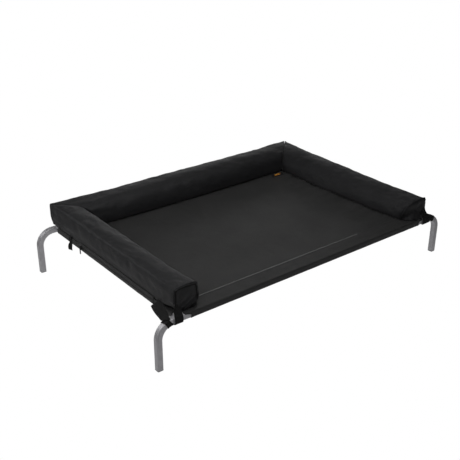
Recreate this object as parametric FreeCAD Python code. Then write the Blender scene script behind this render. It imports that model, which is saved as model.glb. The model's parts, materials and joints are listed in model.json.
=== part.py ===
import FreeCAD, Part
import math
import os

# Raised dog bed: a square-tube frame with a stretched fabric sling and a U-shaped bolster.
# Millimetres. Origin on the floor at the centre of the four feet.
# +X runs along the long side, +Y towards the closed back of the bolster, +Z up.

V = FreeCAD.Vector
AXIS_X = V(1, 0, 0)
AXIS_Y = V(0, 1, 0)
AXIS_Z = V(0, 0, 1)

# Frame
FOOT_X = 640.0
FOOT_Y = 390.0
TUBE = 20.0
TUBE_WALL = 1.2
TUBE_RADIUS = 3.0
RAIL_Z = 155.0
BEND_R = 52.0
STUB_END_X = 470.0
CROSS_X = 563.0
CROSS_GAP = 0.1
FOOT_CAP = 2.0
PLUG_DEPTH = 22.0
PLUG_WALL = 2.0
JOINER_LENGTH = 120.0
JOINER_WALL = 1.5
BORE_GAP = 0.2

# Corner fasteners
BOLT_R = 3.0
BOLT_HOLE_R = 3.3
BOLT_LENGTH = 46.0
BOLT_HEAD_R = 5.5
BOLT_HEAD = 2.6
BOLT_HEAD_ROUND = 1.6
HEX_R = 2.2
HEX_DEPTH = 1.6
WASHER_R = 7.0
WASHER = 1.0
INSERT_LENGTH = 30.0

# Sling
CLOTH = 1.2
SLING_TOP = 166.6
SLEEVE_GAP = 0.4
SLEEVE_HALF_X = 515.0
SLEEVE_HALF_Y = 342.0

# Bolster
BOLSTER_X = 573.0
BOLSTER_BACK_Y = 410.0
BOLSTER_FRONT_Y = -385.0
BOLSTER_WIDTH = 123.0
BOLSTER_TOP_WIDTH = 97.0
BOLSTER_HEIGHT = 84.0
BOLSTER_BASE_Z = 166.9
BOLSTER_TOP_R = 20.0
BOLSTER_FOOT_R = 6.0
COVER = 1.0
CORE_GAP = 0.2
MITRE_GAP = 0.2

# Zips
ZIP_TAPE_SIDE = 20.0
ZIP_TAPE_BACK = 12.0
ZIP_TAPE_THICK = 0.8
ZIP_CHAIN = 5.0
ZIP_CHAIN_HIGH = 2.0
ZIP_CHAIN_SHORT = 5.0
ZIP_SIDE_X = CROSS_X + TUBE / 2 + SLEEVE_GAP + CLOTH
ZIP_SIDE_Z = 160.5
ZIP_BACK_Z = 179.4
ZIP_START_Y = -270.0
ZIP_END_Y = 200.0
ZIP_HALF_BACK = 420.0
SLIDER_SIDE_Y = 186.0
SLIDER_BACK_X = 406.0
SLIDER_LENGTH = 12.0
SLIDER_WIDTH = 9.0
SLIDER_HIGH = 4.6
SLIDER_GAP = 0.35
SLIDER_ROUND = 2.0
PIN_R = 1.0
PIN_OUT = 7.6
PIN_CLEARANCE = 0.06
POST = 2.0
KNUCKLE_R = 2.2
KNUCKLE_LENGTH = 7.0
PULL_WIDTH = 6.5
PULL_LENGTH = 23.0
PULL_THICK = 1.4
PULL_ROUND = 2.4
PULL_EYE_R = 1.5
PULL_EYE_UP = 4.5

# Straps
STRAP = 1.3
STRAP_GAP = 0.4
INNER_STRAP_FROM = 557.0
INNER_STRAP_TO = 587.0
INNER_STRAP_TOP_FROM = 566.0
INNER_STRAP_TOP_TO = 573.0
INNER_STRAP_FRONT_Y = -404.2
INNER_STRAP_END_Y = -383.0
OUTER_STRAP_ANGLE = 32.0
OUTER_ARM_LOW = V(592.0, -281.0, 153.0)
OUTER_ARM_HIGH = V(573.6, -304.0, 179.0)
OUTER_ARM_BACK = V(620.0, -379.0, 159.3)
OUTER_ARM_FRONT = V(600.5, -401.5, 166.6)
SEWN_TAB_START_Y = -312.0
SEWN_TAB_END_Y = -294.0
SEWN_TAB_LOW_Z = 170.0
SEWN_TAB_HIGH_Z = 186.0
INNER_STRAP_RISE = 36.0
BACK_STRAP_Y = 270.0
BACK_STRAP_WIDTH = 20.0
BACK_TAIL_Z = 116.0
BACK_STRAP_UNDER = 40.0
BACK_STRAP_ABOVE = 8.0

# Label
LABEL_WIDTH = 60.0
LABEL_DEPTH = 16.0
LABEL_THICK = 0.6
LABEL_X = 408.0
LABEL_Y = 268.0

PARTS_DIR = "parts"


def write(name, shape):
    shape.exportStep(os.path.join(PARTS_DIR, name + ".step"))


def box(low, high):
    return Part.makeBox(high[0] - low[0], high[1] - low[1], high[2] - low[2], V(*low))


def fused(shapes):
    whole = shapes[0]
    for shape in shapes[1:]:
        whole = whole.fuse(shape)
    return whole.removeSplitter()


def mirrored(shape, normal):
    return shape.mirror(V(0, 0, 0), normal)


def rounded_square(side, radius, centre, u, v):
    """A wire: a square of the given side with rounded corners, in the plane of u and v."""
    flat = side / 2.0 - radius
    half = side / 2.0
    edges = []
    for quarter in range(4):
        a = u if quarter % 2 == 0 else v
        b = v if quarter % 2 == 0 else u
        sa = 1 if quarter in (0, 1) else -1
        sb = 1 if quarter in (0, 3) else -1
        start = centre + a * (sa * half) - b * (sb * flat)
        end = centre + a * (sa * half) + b * (sb * flat)
        edges.append(Part.makeLine(start, end))
        corner = centre + a * (sa * flat) + b * (sb * flat)
        middle = corner + (a * sa + b * sb) * (radius * math.sqrt(0.5))
        leave = corner + b * (sb * radius)
        edges.append(Part.Arc(end, middle, leave).toShape())
    return Part.Wire(Part.__sortEdges__(edges))


def ring_face(outer, outer_radius, wall, centre, u, v):
    """A square ring: the section of a square tube."""
    outside = Part.Face(rounded_square(outer, outer_radius, centre, u, v))
    inner_radius = max(outer_radius - wall, 0.6)
    inside = Part.Face(rounded_square(outer - 2 * wall, inner_radius, centre, u, v))
    return outside.cut(inside).Faces[0]


def straight_tube(start, end, outer=TUBE, radius=TUBE_RADIUS, wall=TUBE_WALL):
    direction = (end - start).normalize()
    u = AXIS_Z if abs(direction.z) < 0.5 else AXIS_X
    v = direction.cross(u)
    return ring_face(outer, radius, wall, start, u, v).extrude(end - start)


def corner_leg():
    """Front right leg: a level stub, a quarter bend and a leg, all of one tube."""
    bend_x = FOOT_X - BEND_R
    level = straight_tube(V(STUB_END_X, -FOOT_Y, RAIL_Z), V(bend_x, -FOOT_Y, RAIL_Z))
    section = ring_face(TUBE, TUBE_RADIUS, TUBE_WALL, V(bend_x, -FOOT_Y, RAIL_Z), AXIS_Z, AXIS_Y)
    bend = section.revolve(V(bend_x, -FOOT_Y, RAIL_Z - BEND_R), AXIS_Y, 90)
    upright = straight_tube(V(FOOT_X, -FOOT_Y, RAIL_Z - BEND_R), V(FOOT_X, -FOOT_Y, FOOT_CAP))
    leg = fused([level, bend, upright])
    hole = Part.makeCylinder(BOLT_HOLE_R, 2 * TUBE, V(CROSS_X, -FOOT_Y - TUBE, RAIL_Z), AXIS_Y)
    return leg.cut(hole)


def foot_plug():
    """Plastic plug pressed into the front right leg, with a flat cap on the floor."""
    bore = TUBE - 2 * TUBE_WALL - 2 * BORE_GAP
    cap = Part.Face(rounded_square(TUBE, TUBE_RADIUS, V(FOOT_X, -FOOT_Y, 0), AXIS_X, AXIS_Y))
    cap = cap.extrude(V(0, 0, FOOT_CAP))
    stem = ring_face(bore, TUBE_RADIUS - TUBE_WALL, PLUG_WALL, V(FOOT_X, -FOOT_Y, FOOT_CAP), AXIS_X, AXIS_Y)
    return fused([cap, stem.extrude(V(0, 0, PLUG_DEPTH))])


def joiner():
    """Sleeve inside the tube where the front rail meets the front right leg."""
    outer = TUBE - 2 * TUBE_WALL - 2 * BORE_GAP
    start = V(STUB_END_X - JOINER_LENGTH / 2, -FOOT_Y, RAIL_Z)
    end = V(STUB_END_X + JOINER_LENGTH / 2, -FOOT_Y, RAIL_Z)
    return straight_tube(start, end, outer, TUBE_RADIUS - TUBE_WALL, JOINER_WALL)


def corner_bolt():
    """Button-head bolt through the front right leg into the right cross rail."""
    head_y = -FOOT_Y - TUBE / 2 - WASHER
    shank = Part.makeCylinder(BOLT_R, BOLT_LENGTH, V(CROSS_X, head_y, RAIL_Z), AXIS_Y)
    head = Part.makeCylinder(BOLT_HEAD_R, BOLT_HEAD, V(CROSS_X, head_y - BOLT_HEAD, RAIL_Z), AXIS_Y)
    rim = [e for e in head.Edges if abs(e.BoundBox.YMax - (head_y - BOLT_HEAD)) < 0.01]
    head = head.makeFillet(BOLT_HEAD_ROUND, rim)
    corners = [
        V(CROSS_X + HEX_R * math.cos(math.radians(60 * k)), head_y - BOLT_HEAD,
          RAIL_Z + HEX_R * math.sin(math.radians(60 * k)))
        for k in range(7)
    ]
    socket = Part.Face(Part.makePolygon(corners)).extrude(V(0, HEX_DEPTH, 0))
    return fused([head, shank]).cut(socket)


def corner_washer():
    face_y = -FOOT_Y - TUBE / 2 - WASHER
    disc = Part.makeCylinder(WASHER_R, WASHER, V(CROSS_X, face_y, RAIL_Z), AXIS_Y)
    hole = Part.makeCylinder(BOLT_HOLE_R, 3 * WASHER, V(CROSS_X, face_y - WASHER, RAIL_Z), AXIS_Y)
    return disc.cut(hole)


def corner_insert():
    """Nut block inside the front end of the right cross rail."""
    side = TUBE - 2 * TUBE_WALL - 2 * BORE_GAP
    start_y = -FOOT_Y + TUBE / 2 + 2 * CROSS_GAP
    face = Part.Face(rounded_square(side, TUBE_RADIUS - TUBE_WALL, V(CROSS_X, start_y, RAIL_Z),
                                    AXIS_X, AXIS_Z))
    block = face.extrude(V(0, INSERT_LENGTH, 0))
    bore = Part.makeCylinder(BOLT_R + 0.1, 2 * INSERT_LENGTH, V(CROSS_X, start_y - 5, RAIL_Z), AXIS_Y)
    return block.cut(bore)


def at_corners(shape):
    """The same piece at the four corners: front right, front left, back right, back left."""
    left = mirrored(shape, AXIS_X)
    return {
        "front_right": shape,
        "front_left": left,
        "back_right": mirrored(shape, AXIS_Y),
        "back_left": mirrored(left, AXIS_Y),
    }


def long_rail():
    """Front rail between the two leg stubs."""
    end = STUB_END_X - CROSS_GAP
    return straight_tube(V(-end, -FOOT_Y, RAIL_Z), V(end, -FOOT_Y, RAIL_Z))


def cross_rail():
    """Right cross rail between the two long rails."""
    end = FOOT_Y - TUBE / 2 - CROSS_GAP
    return straight_tube(V(CROSS_X, -end, RAIL_Z), V(CROSS_X, end, RAIL_Z))


def sleeve(sewn, rail, direction, along_x, half):
    """Fabric sleeve round a rail: a closed hem whose two layers meet at the sewn line."""
    reach = TUBE / 2 + SLEEVE_GAP + CLOTH

    def outline(inset):
        outer = rail + direction * (reach - inset)
        inner = rail - direction * (reach - inset)
        bottom = RAIL_Z - reach + inset
        if inset:
            start = sewn + direction * 2 * CLOTH
            return [(start, SLING_TOP - inset), (outer, SLING_TOP - inset), (outer, bottom), (inner, bottom)]
        return [(sewn, SLING_TOP), (outer, SLING_TOP), (outer, bottom), (inner, bottom),
                (sewn, SLING_TOP - CLOTH)]

    def solid(inset):
        run = V(2 * half, 0, 0) if along_x else V(0, 2 * half, 0)
        corners = [V(-half, across, z) if along_x else V(across, -half, z)
                   for across, z in outline(inset)]
        corners.append(corners[0])
        return Part.Face(Part.makePolygon(corners)).extrude(run)

    return solid(0).cut(solid(CLOTH))


def sling_panel():
    low = (-SLEEVE_HALF_X, -SLEEVE_HALF_Y, SLING_TOP - CLOTH)
    high = (SLEEVE_HALF_X, SLEEVE_HALF_Y, SLING_TOP)
    return box(low, high)


def bolster_section(inset, start, end):
    """Right-hand bolster section along Y, its walls inset from the outside by the given amount."""
    outer = BOLSTER_X - inset
    foot = BOLSTER_X - BOLSTER_WIDTH + inset
    brow = BOLSTER_X - BOLSTER_TOP_WIDTH + inset
    low = BOLSTER_BASE_Z + inset
    high = BOLSTER_BASE_Z + BOLSTER_HEIGHT - inset
    corners = [V(outer, start, low), V(outer, start, high), V(brow, start, high), V(foot, start, low)]
    corners.append(corners[0])
    prism = Part.Face(Part.makePolygon(corners)).extrude(V(0, end - start, 0))
    half_run = (end - start) / 2
    middle_z = (low + high) / 2
    ridges = [e for e in prism.Edges if e.BoundBox.YLength > half_run and e.CenterOfMass.z > middle_z]
    prism = prism.makeFillet(BOLSTER_TOP_R - inset, ridges)
    feet = [e for e in prism.Edges if e.BoundBox.YLength > half_run and e.CenterOfMass.z < low + 0.01]
    return prism.makeFillet(BOLSTER_FOOT_R - inset, feet)


def mitre_keep(offset):
    """Everything on the front side of the 45 degree plane through the back right corner."""
    far = 3000.0
    corner = V(BOLSTER_X, BOLSTER_BACK_Y, 0)
    slide = V(0, -offset * math.sqrt(2.0), -far / 2)
    a = corner + slide + V(far, far, 0)
    b = corner + slide + V(-far, -far, 0)
    c = b + V(2 * far, 0, 0)
    face = Part.Face(Part.makePolygon([a, b, c, a]))
    return face.extrude(V(0, 0, far))


def side_solid(inset):
    """Right section, open front end to the mitre at the back right corner."""
    run = bolster_section(inset, BOLSTER_FRONT_Y + inset, BOLSTER_BACK_Y + BOLSTER_WIDTH)
    return run.common(mitre_keep(inset + MITRE_GAP))


def back_solid(inset):
    """Back section between the two mitres."""
    turned = bolster_section(inset, -2 * BOLSTER_X, 2 * BOLSTER_X)
    turned.rotate(V(0, 0, 0), AXIS_Z, 90)
    turned.translate(V(0, BOLSTER_BACK_Y - BOLSTER_X, 0))
    cut_side = mitre_keep(-inset - MITRE_GAP)
    return turned.cut(cut_side).cut(mirrored(cut_side, AXIS_X))


def cover_and_core(solid_at):
    """A sewn cover of one cloth thickness and the foam that fills it."""
    cover = solid_at(0).cut(solid_at(COVER))
    return cover, solid_at(COVER + CORE_GAP)


def zip_strip(start, end, face, middle, wide):
    """Zip on an outer face of the right side: tape with the closed chain along its middle."""
    tape = box((face, start, middle - wide / 2), (face + ZIP_TAPE_THICK, end, middle + wide / 2))
    chain = box((face, start + ZIP_CHAIN_SHORT, middle - ZIP_CHAIN / 2),
                (face + ZIP_TAPE_THICK + ZIP_CHAIN_HIGH, end - ZIP_CHAIN_SHORT, middle + ZIP_CHAIN / 2))
    return fused([tape, chain])


def zip_slider(at, face, middle):
    """Slider riding over the chain, with two posts and the pin that carries the pull."""
    sole = face + ZIP_TAPE_THICK + SLIDER_GAP
    body = box((sole, at - SLIDER_LENGTH / 2, middle - SLIDER_WIDTH / 2),
               (sole + SLIDER_HIGH, at + SLIDER_LENGTH / 2, middle + SLIDER_WIDTH / 2))
    upright = [e for e in body.Edges if e.BoundBox.XLength > 0.9 * SLIDER_HIGH]
    body = body.makeFillet(SLIDER_ROUND, upright)
    channel = box((sole - 1, at - SLIDER_LENGTH, middle - ZIP_CHAIN / 2 - SLIDER_GAP),
                  (sole + ZIP_CHAIN_HIGH, at + SLIDER_LENGTH, middle + ZIP_CHAIN / 2 + SLIDER_GAP))
    body = body.cut(channel)
    pin_x = face + PIN_OUT
    half = KNUCKLE_LENGTH / 2 + SLIDER_GAP
    pieces = [body]
    for side in (-1, 1):
        near = at + side * half
        far = at + side * (half + POST)
        post = box((sole + SLIDER_HIGH - 1, min(near, far), middle - POST / 2),
                   (pin_x + PIN_R + 0.5, max(near, far), middle + POST / 2))
        pieces.append(post)
    pin_end = half + POST / 2
    pieces.append(Part.makeCylinder(PIN_R, 2 * pin_end, V(pin_x, at - pin_end, middle), AXIS_Y))
    recess = Part.makeCylinder(KNUCKLE_R + SLIDER_GAP, 2 * half, V(pin_x, at - half, middle), AXIS_Y)
    pieces[0] = pieces[0].cut(recess)
    return fused(pieces)


def zip_pull(at, face, middle):
    """Flat pull tab hanging from the slider's pin."""
    pin_x = face + PIN_OUT
    knuckle = Part.makeCylinder(KNUCKLE_R, KNUCKLE_LENGTH, V(pin_x, at - KNUCKLE_LENGTH / 2, middle), AXIS_Y)
    blade = box((pin_x - PULL_THICK / 2, at - PULL_WIDTH / 2, middle - PULL_LENGTH),
                (pin_x + PULL_THICK / 2, at + PULL_WIDTH / 2, middle))
    bottom = [e for e in blade.Edges
              if e.BoundBox.XLength > 0.9 * PULL_THICK and e.CenterOfMass.z < middle - PULL_LENGTH / 2]
    blade = blade.makeFillet(PULL_ROUND, bottom)
    eye = Part.makeCylinder(PULL_EYE_R, 4 * PULL_THICK,
                            V(pin_x - 2 * PULL_THICK, at, middle - PULL_LENGTH + PULL_EYE_UP), AXIS_X)
    pull = fused([knuckle, blade]).cut(eye)
    bore = Part.makeCylinder(PIN_R + PIN_CLEARANCE, 2 * KNUCKLE_LENGTH,
                             V(pin_x, at - KNUCKLE_LENGTH, middle), AXIS_Y)
    return pull.cut(bore)


def on_back(shape):
    """Move a piece from the right section's outer face to the same place on the back section."""
    turned = shape.copy()
    turned.rotate(V(0, 0, 0), AXIS_Z, 90)
    turned.translate(V(0, BOLSTER_BACK_Y - BOLSTER_X, 0))
    return turned


def slab_end(low, high, thick):
    """Closed outline of a strap's end, from its lower corner to its upper one, thick deep."""
    corners = [low, high, high + thick, low + thick, low]
    return Part.makePolygon(corners)


def outer_strap():
    """Front right strap: a loop round the start of the leg's bend and an arm back to the bolster."""
    centre = V(FOOT_X - BEND_R, -FOOT_Y, RAIL_Z)
    outer = TUBE + 2 * (STRAP_GAP + STRAP)
    radius = TUBE_RADIUS + STRAP_GAP + STRAP
    section = ring_face(outer, radius, STRAP, centre, AXIS_Z, AXIS_Y)
    loop = section.revolve(centre - V(0, 0, BEND_R), AXIS_Y, OUTER_STRAP_ANGLE)
    across = OUTER_ARM_HIGH - OUTER_ARM_LOW
    along = OUTER_ARM_FRONT - OUTER_ARM_HIGH
    thick = across.cross(along)
    thick.normalize()
    thick = thick * STRAP
    ends = [slab_end(OUTER_ARM_LOW, OUTER_ARM_HIGH, thick),
            slab_end(OUTER_ARM_BACK - thick, OUTER_ARM_FRONT - thick, thick)]
    arm = Part.makeLoft(ends, True, True)
    tab = box((BOLSTER_X, SEWN_TAB_START_Y, SEWN_TAB_LOW_Z),
              (BOLSTER_X + STRAP, SEWN_TAB_END_Y, SEWN_TAB_HIGH_Z))
    return fused([loop, arm, tab])


def inner_strap():
    """Front right end strap: up the bolster's end, over the front rail and back under it."""
    top = RAIL_Z + TUBE / 2 + STRAP_GAP
    bottom = RAIL_Z - TUBE / 2 - STRAP_GAP
    face_y = BOLSTER_FRONT_Y - STRAP_GAP
    outline = [
        (face_y, top), (INNER_STRAP_FRONT_Y, top), (INNER_STRAP_FRONT_Y, bottom),
        (INNER_STRAP_END_Y, bottom), (INNER_STRAP_END_Y, bottom - STRAP),
        (INNER_STRAP_FRONT_Y - STRAP, bottom - STRAP), (INNER_STRAP_FRONT_Y - STRAP, top + STRAP),
        (face_y, top + STRAP),
    ]
    corners = [V(INNER_STRAP_FROM, y, z) for y, z in outline]
    corners.append(corners[0])
    hook = Part.Face(Part.makePolygon(corners)).extrude(V(INNER_STRAP_TO - INNER_STRAP_FROM, 0, 0))
    corners = [
        V(INNER_STRAP_FROM, face_y - STRAP, top),
        V(INNER_STRAP_TO, face_y - STRAP, top),
        V(INNER_STRAP_TOP_TO, face_y - STRAP, top + INNER_STRAP_RISE),
        V(INNER_STRAP_TOP_FROM, face_y - STRAP, top + INNER_STRAP_RISE),
    ]
    corners.append(corners[0])
    band = Part.Face(Part.makePolygon(corners)).extrude(V(0, STRAP, 0))
    return fused([hook, band])


def back_strap():
    """Right side strap: round the cross rail in its sleeve, with a free tail hanging below."""
    hem = TUBE / 2 + SLEEVE_GAP + CLOTH + STRAP_GAP
    low_y = BACK_STRAP_Y - BACK_STRAP_WIDTH / 2
    high_y = low_y + BACK_STRAP_WIDTH
    top_z = BOLSTER_BASE_Z + BACK_STRAP_ABOVE
    outer_x = CROSS_X + hem
    inner_x = outer_x - BACK_STRAP_UNDER
    under_z = RAIL_Z - hem
    side = box((outer_x, low_y, under_z - STRAP), (outer_x + STRAP, high_y, top_z))
    under = box((inner_x, low_y, under_z - STRAP), (outer_x + STRAP, high_y, under_z))
    tail = box((outer_x, low_y, BACK_TAIL_Z), (outer_x + STRAP, high_y, under_z))
    return fused([side, under, tail])


def brand_label():
    """Plain label sewn in the seam at the back right of the lying area."""
    low_z = SLING_TOP
    return box((LABEL_X - LABEL_WIDTH / 2, LABEL_Y - LABEL_DEPTH / 2, low_z),
               (LABEL_X + LABEL_WIDTH / 2, LABEL_Y + LABEL_DEPTH / 2, low_z + LABEL_THICK))


def build_frame():
    for corner, leg in at_corners(corner_leg()).items():
        write("leg_" + corner, leg)
    for corner, plug in at_corners(foot_plug()).items():
        write("foot_plug_" + corner, plug)
    for corner, tube in at_corners(joiner()).items():
        write("joiner_" + corner, tube)
    front = long_rail()
    write("rail_front", front)
    write("rail_back", mirrored(front, AXIS_Y))
    right = cross_rail()
    write("cross_rail_right", right)
    write("cross_rail_left", mirrored(right, AXIS_X))
    for name, piece in (("corner_bolts", corner_bolt()), ("corner_washers", corner_washer()),
                        ("nut_inserts", corner_insert())):
        write(name, Part.Compound(list(at_corners(piece).values())))


def build_sling():
    write("sling_panel", sling_panel())
    write("sling_sleeve_front", sleeve(-SLEEVE_HALF_Y, -FOOT_Y, -1, True, SLEEVE_HALF_X))
    write("sling_sleeve_back", sleeve(SLEEVE_HALF_Y, FOOT_Y, 1, True, SLEEVE_HALF_X))
    write("sling_sleeve_left", sleeve(-SLEEVE_HALF_X, -CROSS_X, -1, False, SLEEVE_HALF_Y))
    write("sling_sleeve_right", sleeve(SLEEVE_HALF_X, CROSS_X, 1, False, SLEEVE_HALF_Y))


def build_bolster():
    cover, core = cover_and_core(side_solid)
    write("bolster_cover_right", cover)
    write("bolster_foam_right", core)
    write("bolster_cover_left", mirrored(cover, AXIS_X))
    write("bolster_foam_left", mirrored(core, AXIS_X))
    cover, core = cover_and_core(back_solid)
    write("bolster_cover_back", cover)
    write("bolster_foam_back", core)
    write("label", brand_label())


def build_zips():
    side_zip = zip_strip(ZIP_START_Y, ZIP_END_Y, ZIP_SIDE_X, ZIP_SIDE_Z, ZIP_TAPE_SIDE)
    side_slider = zip_slider(SLIDER_SIDE_Y, ZIP_SIDE_X, ZIP_SIDE_Z)
    side_pull = zip_pull(SLIDER_SIDE_Y, ZIP_SIDE_X, ZIP_SIDE_Z)
    for name, piece in (("zip", side_zip), ("zip_slider", side_slider), ("zip_pull", side_pull)):
        write(name + "_right", piece)
        write(name + "_left", mirrored(piece, AXIS_X))
    back_zip = zip_strip(-ZIP_HALF_BACK, ZIP_HALF_BACK, BOLSTER_X, ZIP_BACK_Z, ZIP_TAPE_BACK)
    write("zip_back", on_back(back_zip))
    write("zip_slider_back", on_back(zip_slider(-SLIDER_BACK_X, BOLSTER_X, ZIP_BACK_Z)))
    write("zip_pull_back", on_back(zip_pull(-SLIDER_BACK_X, BOLSTER_X, ZIP_BACK_Z)))


def build_straps():
    for name, strap in (("strap_outer", outer_strap()), ("strap_inner", inner_strap())):
        write(name + "_front_right", strap)
        write(name + "_front_left", mirrored(strap, AXIS_X))
    strap = back_strap()
    write("strap_back_right", strap)
    write("strap_back_left", mirrored(strap, AXIS_X))


os.makedirs(PARTS_DIR, exist_ok=True)
build_frame()
build_sling()
build_bolster()
build_zips()
build_straps()
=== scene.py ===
import json
import math
import bpy
import bmesh
import numpy as np
from mathutils import Matrix, Vector, noise
from mathutils.bvhtree import BVHTree


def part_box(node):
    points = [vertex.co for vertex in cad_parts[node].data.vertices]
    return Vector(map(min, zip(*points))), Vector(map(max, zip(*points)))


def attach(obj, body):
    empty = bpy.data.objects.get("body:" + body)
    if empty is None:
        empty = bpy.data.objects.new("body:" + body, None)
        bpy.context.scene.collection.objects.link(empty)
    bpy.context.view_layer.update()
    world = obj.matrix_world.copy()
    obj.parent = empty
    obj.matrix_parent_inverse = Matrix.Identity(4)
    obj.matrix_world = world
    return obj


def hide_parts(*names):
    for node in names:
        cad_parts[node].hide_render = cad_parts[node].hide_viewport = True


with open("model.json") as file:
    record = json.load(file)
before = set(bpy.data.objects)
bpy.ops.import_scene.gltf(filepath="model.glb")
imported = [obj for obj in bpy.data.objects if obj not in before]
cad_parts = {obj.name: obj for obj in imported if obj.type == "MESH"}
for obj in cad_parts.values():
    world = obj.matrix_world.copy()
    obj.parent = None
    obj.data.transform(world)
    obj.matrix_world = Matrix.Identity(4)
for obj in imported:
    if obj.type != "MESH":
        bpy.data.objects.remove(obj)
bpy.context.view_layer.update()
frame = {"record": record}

# Raised dog bed: steel frame, black cloth sling, U-shaped bolster, straps and zips.
# Metres, +X along the long side, +Y to the bolster's closed back, +Z up.

BODY = "bed"
MM = 0.001
UP = Vector((0, 0, 1))


# ---------------- measures from the frame

def corners(node):
    low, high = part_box(node)
    return Vector(low), Vector(high)


PANEL_LOW, PANEL_HIGH = corners("sling_panel")
RAIL_LOW, RAIL_HIGH = corners("rail_front")
CROSS_LOW, CROSS_HIGH = corners("cross_rail_left")
LEFT_LOW, LEFT_HIGH = corners("bolster_cover_left")
BACK_HIGH = corners("bolster_cover_back")[1]
LEG_HIGH = corners("leg_front_right")[1]

TUBE = RAIL_HIGH.z - RAIL_LOW.z
RAIL_Z = (RAIL_HIGH.z + RAIL_LOW.z) / 2
RAIL_Y = -(RAIL_HIGH.y + RAIL_LOW.y) / 2
CROSS_X = -(CROSS_HIGH.x + CROSS_LOW.x) / 2
BEND_R = 52 * MM
BEND_X = LEG_HIGH.x - TUBE / 2 - BEND_R
DECK_Z = PANEL_HIGH.z
SEWN_Y = -PANEL_LOW.y
SEWN_X = -PANEL_LOW.x
BOLSTER_X = -LEFT_LOW.x
BOLSTER_BACK = BACK_HIGH.y
BOLSTER_FRONT = LEFT_LOW.y
BOLSTER_BASE = LEFT_LOW.z
BOLSTER_H = LEFT_HIGH.z - BOLSTER_BASE


# ---------------- materials

# scale at which a wave texture repeats once a metre
WAVE_SCALE = 1 / 3.183
STEEL_TINT = (1.0, 0.99, 1.03)
CLOTH_UNEVEN = 0.16


class Nodes:
    """A principled material with a few short ways to wire procedural detail into it."""

    def __init__(self, name, color, roughness, **sockets):
        self.material = bpy.data.materials.new(name)
        self.material.use_nodes = True
        self.tree = self.material.node_tree
        self.shader = self.tree.nodes["Principled BSDF"]
        self.shader.inputs["Base Color"].default_value = (*color, 1)
        self.shader.inputs["Roughness"].default_value = roughness
        for socket, value in sockets.items():
            self.shader.inputs[socket.replace("_", " ")].default_value = value
        self.place = self.add("ShaderNodeTexCoord").outputs["Object"]
        self.material.diffuse_color = (*color, 1)

    def add(self, kind, **values):
        node = self.tree.nodes.new(kind)
        for key, value in values.items():
            if hasattr(node, key):
                setattr(node, key, value)
            else:
                node.inputs[key.replace("_", " ")].default_value = value
        return node

    def link(self, source, target):
        self.tree.links.new(source, target)

    def noise(self, scale, detail):
        node = self.add("ShaderNodeTexNoise", Scale=scale, Detail=detail)
        self.link(self.place, node.inputs["Vector"])
        return node.outputs["Fac"]

    def waves(self, direction, pitch, distortion=0.4):
        node = self.add("ShaderNodeTexWave", bands_direction=direction, Scale=WAVE_SCALE / pitch,
                        Distortion=distortion, Detail=1.0)
        self.link(self.place, node.inputs["Vector"])
        return node.outputs["Fac"]

    def math(self, operation, a, b):
        node = self.add("ShaderNodeMath", operation=operation)
        for socket, value in zip(node.inputs, (a, b)):
            if isinstance(value, (int, float)):
                socket.default_value = value
            else:
                self.link(value, socket)
        return node.outputs[0]

    def color(self, source, stops):
        node = self.add("ShaderNodeValToRGB")
        for element, (at, color) in zip(node.color_ramp.elements, stops):
            element.position = at
            element.color = (*color, 1)
        self.link(source, node.inputs["Fac"])
        self.link(node.outputs["Color"], self.shader.inputs["Base Color"])

    def roughness(self, source, low, high):
        node = self.add("ShaderNodeMapRange", From_Min=0.3, From_Max=0.7, To_Min=low, To_Max=high)
        self.link(source, node.inputs["Value"])
        self.link(node.outputs["Result"], self.shader.inputs["Roughness"])

    def bump(self, heights):
        """heights: (source, distance in metres, strength), coarse to fine."""
        previous = None
        for source, distance, strength in heights:
            node = self.add("ShaderNodeBump", Distance=distance, Strength=strength)
            self.link(source, node.inputs["Height"])
            if previous is not None:
                self.link(previous, node.inputs["Normal"])
            previous = node.outputs["Normal"]
        self.link(previous, self.shader.inputs["Normal"])


def shade(value, tint=(1.0, 1.0, 1.0)):
    return tuple(value * t for t in tint)


def painted_steel():
    m = Nodes("silver_powder_coat", shade(0.66, STEEL_TINT), 0.32, Metallic=0.3, Coat_Weight=0.3,
              Coat_Roughness=0.18)
    m.color(m.noise(60, 4), [(0.3, shade(0.61, STEEL_TINT)), (0.7, shade(0.71, STEEL_TINT))])
    m.roughness(m.noise(25, 5), 0.27, 0.40)
    m.bump([(m.noise(900, 2), 0.00012, 0.35), (m.noise(90, 2), 0.0004, 0.12)])
    return m.material


def zinc_steel():
    m = Nodes("zinc_plated_steel", shade(0.55), 0.35, Metallic=0.9)
    m.color(m.noise(300, 3), [(0.3, shade(0.45)), (0.7, shade(0.62, (1.0, 0.99, 0.95)))])
    m.roughness(m.noise(80, 4), 0.28, 0.5)
    m.bump([(m.noise(700, 3), 0.0001, 0.4)])
    return m.material


def moulded_plastic():
    m = Nodes("black_moulded_plastic", shade(0.02), 0.5)
    m.color(m.noise(40, 4), [(0.35, shade(0.016)), (0.7, shade(0.026))])
    m.roughness(m.noise(60, 3), 0.42, 0.6)
    m.bump([(m.noise(1500, 2), 0.00008, 0.5)])
    return m.material


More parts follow.
